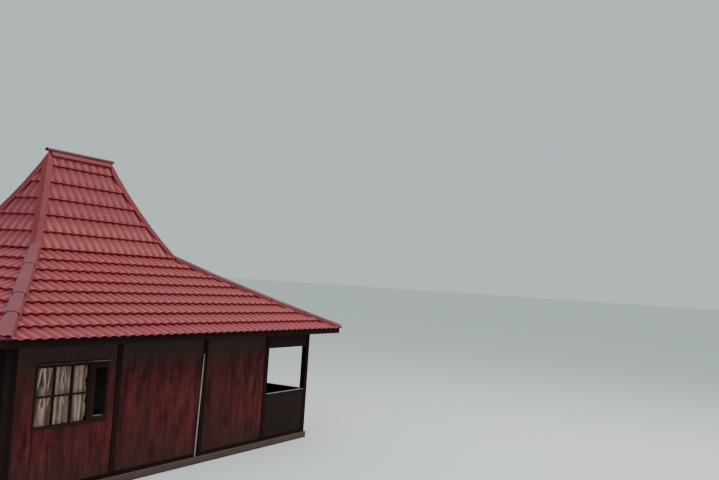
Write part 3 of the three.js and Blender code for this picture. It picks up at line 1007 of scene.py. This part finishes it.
class COTTAGE_OT_veranda(bpy.types.Operator):
    """Boarded parapets with their rails, and header boards, round the veranda"""

    bl_idname = "cottage.veranda"
    bl_label = "Veranda"

    def execute(self, context):
        dice = random.Random(21)
        ends = ("front", "back")
        parapets = [(f"{end}_parapet", end) for end in ends] + [(f"end_parapet_{end}", "right") for end in ends]
        for node, side in parapets:
            reach, depth, (foot, top) = span_of(node, side)
            middle, rail = sum(depth) / 2, top - 0.04
            infill_depth, foot_depth, lath_depth = ((middle - half, middle + half) for half in (0.013, 0.015, 0.017))
            infill = boards(side, reach, infill_depth, (foot + 0.05, rail - 0.03), dice, joint=0.0004)
            rails = [
                on_wall(side, reach, foot_depth, (foot, foot + 0.07)),
                on_wall(side, reach, lath_depth, (rail - 0.05, rail)),
                on_wall(side, reach, depth, (rail, top)),
            ]
            bevel(mark(infill, "tone", lambda co: 0.5), 0.0004)
            # painted highlight along the rail's top
            piece = mark(join([infill, timbers(rails, dice)]), "rubbed", lambda co: 1.0 if co.z > top - 0.0005 else 0.0)
            fit(piece, f"boarded_{node}", "brown", [node])
        headers = [(f"{end}_header_board", end) for end in ends]
        headers += [(f"end_header_board_{i}", "right") for i in (1, 2, 3)]
        for node, side in headers:
            boarded(side, node, f"boarded_{node}", "brown_level", dice, 0.0010, level=True)
        return {"FINISHED"}


# Windows


def joinery(side, dice):
    """Frame, bars and laths of one window, measured from the frame's lower left corner."""
    node = f"{side}_window_frame"
    (left, right), _, (foot, top) = span_of(node, side)
    width, height = 1.3624, 0.8994
    stile, sill, head, lath = 0.03, 0.035, height - 0.055, height - 0.0155
    wide_end, light, light_end = 0.987, 1.092, 1.307  # of the wide and of the narrow light
    parts = [
        on_wall(side, (left + x0, left + x1), depth, (foot + z0, foot + z1))
        for x0, x1, z0, z1, depth in (
            (0, stile, 0, lath - 0.0005, (0, 0.06)),
            (stile, width, 0, sill, (0, 0.06)),
            (stile, width, head, lath - 0.0005, (0, 0.06)),
            (0, 1.003, lath, height, (-0.011, 0.02)),
            (1.003, width, lath, height, (-0.011, 0.02)),
            (wide_end, 1.015, sill, head, (0.004, 0.055)),
            (1.017, light, sill, head, (-0.004, 0.06)),
            (light_end, width, sill, head, (0, 0.06)),
            (light, light_end, sill, 0.085, (0.002, 0.055)),
            (light, light_end, 0.785, head, (0.002, 0.055)),
            (0.330, 0.360, sill, head, (0.012, 0.05)),
            (0.657, 0.687, sill, head, (0.012, 0.05)),
            (stile, wide_end, 0.428, 0.452, (0.014, 0.05)),
            (light, light_end, 0.434, 0.446, (0.03, 0.05)),
        )
    ]

    def rubbed(co):
        """A painted highlight on the narrow light's sill and on the lath along the frame's top."""
        end = co.x > right - 0.36
        return (0.77 if end else 0.725) if co.z > top - 0.0158 else float(end and abs(co.z - foot - 0.085) < 0.0005)

    fit(mark(timbers(parts, dice), "rubbed", rubbed), f"{side}_sash_window", "sash", [node])


# Hollows of a curtain, pointed at the top: place across, lowest and highest place, and spread
HOLLOWS = [
    (0.16, 0.60, 0.94, 0.30),
    (0.32, 0.58, 0.97, 0.13),
    (0.186, 0.29, 0.49, 0.32),
    (0.326, 0.30, 0.48, 0.26),
    (0.545, 0.66, 0.89, 0.26),
    (0.70, 0.56, 0.97, 0.03),
    (0.54, 0.30, 0.48, 0.24),
    (0.64, 0.38, 0.48, 0.24),
]


def hollow_at(u, v):
    """How deep a point is in a hollow, and how near to a hollow's raised rim."""
    deep = rim = 0.0
    for place, low, top, spread in HOLLOWS:
        if low < v < top:
            half = 0.006 + spread * (top - v) / 2
            out, fade = abs(u - place) - half, min(1.0, (v - low) / 0.08)
            deep = max(deep, max(0.0, -out / half) ** 0.5 * fade)
            rim = max(rim, math.exp(-(((out - 0.010) / 0.010) ** 2)) * fade)
    return deep, rim


def fold(u, v, folds):
    """From -1 where the cloth is proud to 1 in a hollow."""
    wander = 0.05 * math.sin(8.1 * u + 0.7) + 0.02 * math.sin(20 * u + 2) + 0.045 * (1 - v) * math.sin(13 * u + 1)
    wave = math.cos(2 * math.pi * folds * (u + wander))
    pinch = 0.45 * v * v * math.cos(4 * math.pi * folds * (u + wander) + 1.2)
    deep, rim = hollow_at(u, v)
    return max(-1.0, (wave + pinch) / 1.45 * (1 - deep) + deep - 0.5 * rim)


def curtain(side, folds):
    """One gathered curtain, torn along its right edge, and its rod."""
    node = f"{side}_window_curtain"
    (a0, a1), depth, (z0, z1) = span_of(node, side)
    sign = SIDES[side][1]
    middle = sum(depth) / 2
    foot, drop, torn = z0 + 0.004, z1 - z0 - 0.01, 0.93
    columns, rows = folds * 16, 28
    cloth = grid(columns, rows, (-0.5, -0.5), (0.5, 0.5))
    dice = random.Random(17)
    tears = [0.034 + 0.014 * math.sin(0.7 * row + 1) + dice.uniform(-0.011, 0.011) for row in range(rows + 1)]
    for vertex in cloth.data.vertices:
        u, v = vertex.co.x + 0.5, vertex.co.y + 0.5
        x = a0 + (a1 - a0) * u - tears[round(v * rows)] * max(0.0, u - torn) / (1 - torn)
        y = WALL_Y - middle - (0.0165 - 0.006 * v * v) * fold(u, v, folds)
        vertex.co = (x, sign * y, foot + drop * v)
    # pale where the cloth is proud, painted shade in its hollows
    mark(cloth, "proud", lambda co: 0.5 - (WALL_Y - abs(co.y) - middle) / 0.032)
    # painted shade deep in the pointed hollows, and a painted highlight along their raised rims
    for i, name in enumerate(("slit", "rim")):
        mark(cloth, name, lambda co: hollow_at((co.x - a0) / (a1 - a0), (co.z - foot) / drop)[i])
    start = rows // 2 * (columns + 1)  # of the row half way up, whose length is the cloth's own width
    line = [vertex.co for vertex in cloth.data.vertices[start : start + columns + 1]]
    flat_width = sum((b - a).length for a, b in zip(line, line[1:]))
    fit(thicken(cloth, 0.0006, 0), f"{side}_curtain", "cloth", [node], 60)
    place = ((a0 + a1) / 2, sign * (WALL_Y - middle), z1 - 0.004)
    rod = cylinder(12, 0.004, a1 - a0 + 0.03, place, **LEVEL)
    fit(bevel(rod, 0.001), f"{side}_curtain_rod", "plastic", angle=40)


class COTTAGE_OT_windows(bpy.types.Operator):
    """Sash windows with their bars, glass and gathered curtains"""

    bl_idname = "cottage.windows"
    bl_label = "Windows"

    def execute(self, context):
        dice = random.Random(2)
        for side in ("front", "back"):
            joinery(side, dice)
            paint(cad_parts[f"{side}_window_glass"], "glass")
            curtain(side, context.scene.cottage_walls.folds)
        return {"FINISHED"}


# Slab


def conduit():
    """A thin pipe with one collar, which leans beside a post."""
    radius, wall, y = 0.0105, 0.002, -WALL_Y - 0.0115
    foot, head = Vector((0.198, y, 0.131)), Vector((0.268, y, 1.88))
    ahead = head - foot
    length = ahead.length
    pipe = cylinder(24, radius, length, (0, 0, length / 2), **OPEN)
    collar = cylinder(24, radius + 0.0022, 0.07, (0, 0, length * 0.62), **OPEN)
    piece = along(thicken(join([pipe, collar]), wall), foot, ahead, Vector((0, -1, 0)))
    fit(piece, "leaning_conduit", "plastic", ["wall_conduit"])


class COTTAGE_OT_slab(bpy.types.Operator):
    """The low slab, and the conduit that stands on it"""

    bl_idname = "cottage.slab"
    bl_label = "Slab and conduit"

    def execute(self, context):
        low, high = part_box("foundation_slab")
        slab = block(low, high)
        pick(slab)
        bpy.ops.mesh.subdivide(number_cuts=40)
        done()
        near, rough = 1e-3, 0.004
        dice = random.Random(4)
        for vertex in slab.data.vertices:
            co = vertex.co
            if co.z > low.z + near and (abs(co.x) > high.x - near or abs(co.y) > high.y - near):
                co.x -= math.copysign(dice.uniform(0, rough), co.x)
                co.y -= math.copysign(dice.uniform(0, rough), co.y)
        fit(bevel(slab, 0.008), "rough_slab", "concrete", ["foundation_slab"], 35)
        conduit()
        return {"FINISHED"}


# Stage


def area_light(name, place, size, power, colour):
    """A square light that looks at the middle of the house."""
    bpy.ops.object.light_add(type="AREA", location=place)
    lamp = bpy.context.active_object
    lamp.name = name
    lamp.data.size = size
    lamp.data.energy = power
    lamp.data.color = colour
    lamp.rotation_euler = (Vector((0, 0, 1.5)) - Vector(place)).to_track_quat("-Z", "Y").to_euler()


def photo_camera(scene):
    """The photograph's view: its place, its yaw, pitch and roll in radians, and its lens in pixels."""
    yaw, pitch, roll = 1.07347, 0.04747, 0.0652
    lens, picture_width = 844.12, 719
    bpy.ops.object.camera_add()
    camera = bpy.context.active_object
    camera.name = "photo_view"
    camera.data.lens = lens / picture_width * camera.data.sensor_width
    camera.data.clip_end = 1000
    turns = [(-yaw, "Z"), (math.pi / 2 + pitch, "X"), (roll, "Z")]
    yawed, pitched, rolled = (Matrix.Rotation(angle, 4, axis) for angle, axis in turns)
    camera.matrix_world = Matrix.Translation((-11.4181, -12.2766, 3.3242)) @ yawed @ pitched @ rolled
    scene.camera = camera


class COTTAGE_OT_stage(bpy.types.Operator):
    """Pale floor, soft light and the camera"""

    bl_idname = "cottage.stage"
    bl_label = "Stage"

    def execute(self, context):
        photo_camera(context.scene)
        bpy.ops.mesh.primitive_circle_add(vertices=96, radius=450, fill_type="NGON", location=(0, 0, -0.001))
        floor = bpy.context.active_object
        floor.name = "stage_floor"
        pale = Finish("stage_pale")
        pale.coats((0.79, 0.79, 0.78))
        floor.data.materials.append(pale.finished(0.9))
        area_light("soft_key", (8, -12, 17.5), 8, 2450, (1.0, 0.98, 0.96))
        area_light("soft_fill", (-16, -5, 8), 9, 1550, (0.66, 0.93, 1.06))
        world = bpy.data.worlds.new("soft_sky")
        world.use_nodes = True
        background = next(n for n in world.node_tree.nodes if n.type == "BACKGROUND")
        background.inputs["Color"].default_value = (0.72, 0.84, 0.85, 1)
        background.inputs["Strength"].default_value = 0.80
        context.scene.world = world
        return {"FINISHED"}


STEPS = (
    COTTAGE_OT_stage,
    COTTAGE_OT_slab,
    COTTAGE_OT_timbers,
    COTTAGE_OT_walls,
    COTTAGE_OT_veranda,
    COTTAGE_OT_windows,
    COTTAGE_OT_rafters,
    COTTAGE_OT_tiles,
    COTTAGE_OT_caps,
    COTTAGE_OT_fascia,
)


class COTTAGE_PT_steps(bpy.types.Panel):
    """The cottage's pieces, in the order that they are built"""

    bl_label = "Cottage"
    bl_idname = "COTTAGE_PT_steps"
    bl_space_type = "VIEW_3D"
    bl_region_type = "UI"
    bl_category = "Cottage"

    def draw(self, context):
        for group, properties in GROUPS.items():
            box = self.layout.box()
            for name in properties.__annotations__:
                box.prop(getattr(context.scene, group), name)
        for step in STEPS:
            self.layout.operator(step.bl_idname)


def register():
    for name, group in GROUPS.items():
        bpy.utils.register_class(group)
        setattr(bpy.types.Scene, name, bpy.props.PointerProperty(type=group))
    for made in (*STEPS, COTTAGE_PT_steps):
        bpy.utils.register_class(made)


def unregister():
    for made in reversed((*STEPS, COTTAGE_PT_steps)):
        bpy.utils.unregister_class(made)
    for name, group in GROUPS.items():
        delattr(bpy.types.Scene, name)
        bpy.utils.unregister_class(group)


def main():
    register()
    for step in STEPS:
        area, name = step.bl_idname.split(".")
        getattr(getattr(bpy.ops, area), name)()


if __name__ == "__main__":
    main()
